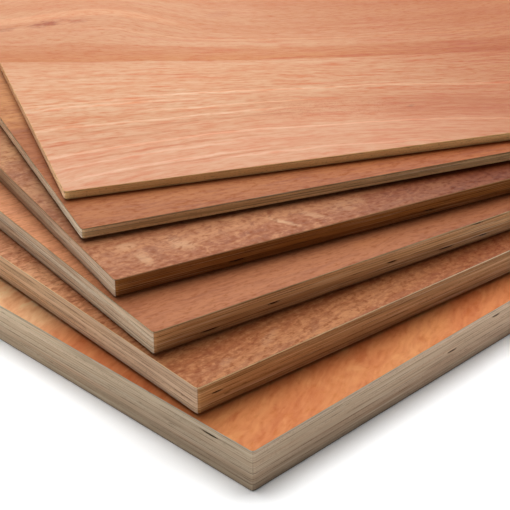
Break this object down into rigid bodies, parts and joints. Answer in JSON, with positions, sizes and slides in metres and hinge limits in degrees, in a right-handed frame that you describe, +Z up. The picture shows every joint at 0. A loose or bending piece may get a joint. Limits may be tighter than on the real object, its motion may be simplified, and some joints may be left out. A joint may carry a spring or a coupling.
{
  "type": "stack of plywood sheets",
  "caption": "Stack of hardwood-faced plywood sheets of rising thickness, thickest at the bottom, fanned out about one corner so that every edge shows its plies.",
  "frame": {"origin": "centre of the bottom sheet's underside", "axes": "+Z up through the sheets, +X along the bottom sheet's right edge, away from the front corner, +Y along its left edge, away from the front corner"},
  "size_m": [0.6677, 0.7162, 0.0596],
  "materials": {
    "veneer_1": "sanded, unsealed hardwood face veneer",
    "veneer_2": "sanded, unsealed hardwood face veneer",
    "veneer_3": "sanded, unsealed hardwood face veneer",
    "veneer_4": "sanded, unsealed hardwood face veneer",
    "veneer_5": "sanded, unsealed hardwood face veneer",
    "veneer_6": "sanded, unsealed hardwood face veneer",
    "core_long_grain": "sawn core ply, grain along the face grain",
    "core_cross_grain": "sawn core ply, grain across the face grain"
  },
  "bodies": {
    "root": {"sheet_1_back_veneer": "veneer_1", "sheet_1_core_ply_1": "core_cross_grain", "sheet_1_core_ply_2": "core_long_grain", "sheet_1_core_ply_3": "core_cross_grain", "sheet_1_core_ply_4": "core_long_grain", "sheet_1_core_ply_5": "core_cross_grain", "sheet_1_core_ply_6": "core_long_grain", "sheet_1_core_ply_7": "core_cross_grain", "sheet_1_face_veneer": "veneer_1", "sheet_2_back_veneer": "veneer_2", "sheet_2_core_ply_1": "core_cross_grain", "sheet_2_core_ply_2": "core_long_grain", "sheet_2_core_ply_3": "core_cross_grain", "sheet_2_core_ply_4": "core_long_grain", "sheet_2_core_ply_5": "core_cross_grain", "sheet_2_face_veneer": "veneer_2", "sheet_3_back_veneer": "veneer_3", "sheet_3_core_ply_1": "core_cross_grain", "sheet_3_core_ply_2": "core_long_grain", "sheet_3_core_ply_3": "core_long_grain", "sheet_3_core_ply_4": "core_cross_grain", "sheet_3_face_veneer": "veneer_3", "sheet_4_back_veneer": "veneer_4", "sheet_4_core_ply_1": "core_cross_grain", "sheet_4_core_ply_2": "core_long_grain", "sheet_4_core_ply_3": "core_cross_grain", "sheet_4_face_veneer": "veneer_4", "sheet_5_back_veneer": "veneer_5", "sheet_5_core_ply_1": "core_cross_grain", "sheet_5_core_ply_2": "core_long_grain", "sheet_5_core_ply_3": "core_cross_grain", "sheet_5_face_veneer": "veneer_5", "sheet_6_back_veneer": "veneer_6", "sheet_6_core_ply_1": "core_cross_grain", "sheet_6_face_veneer": "veneer_6"}
  },
  "joints": []
}
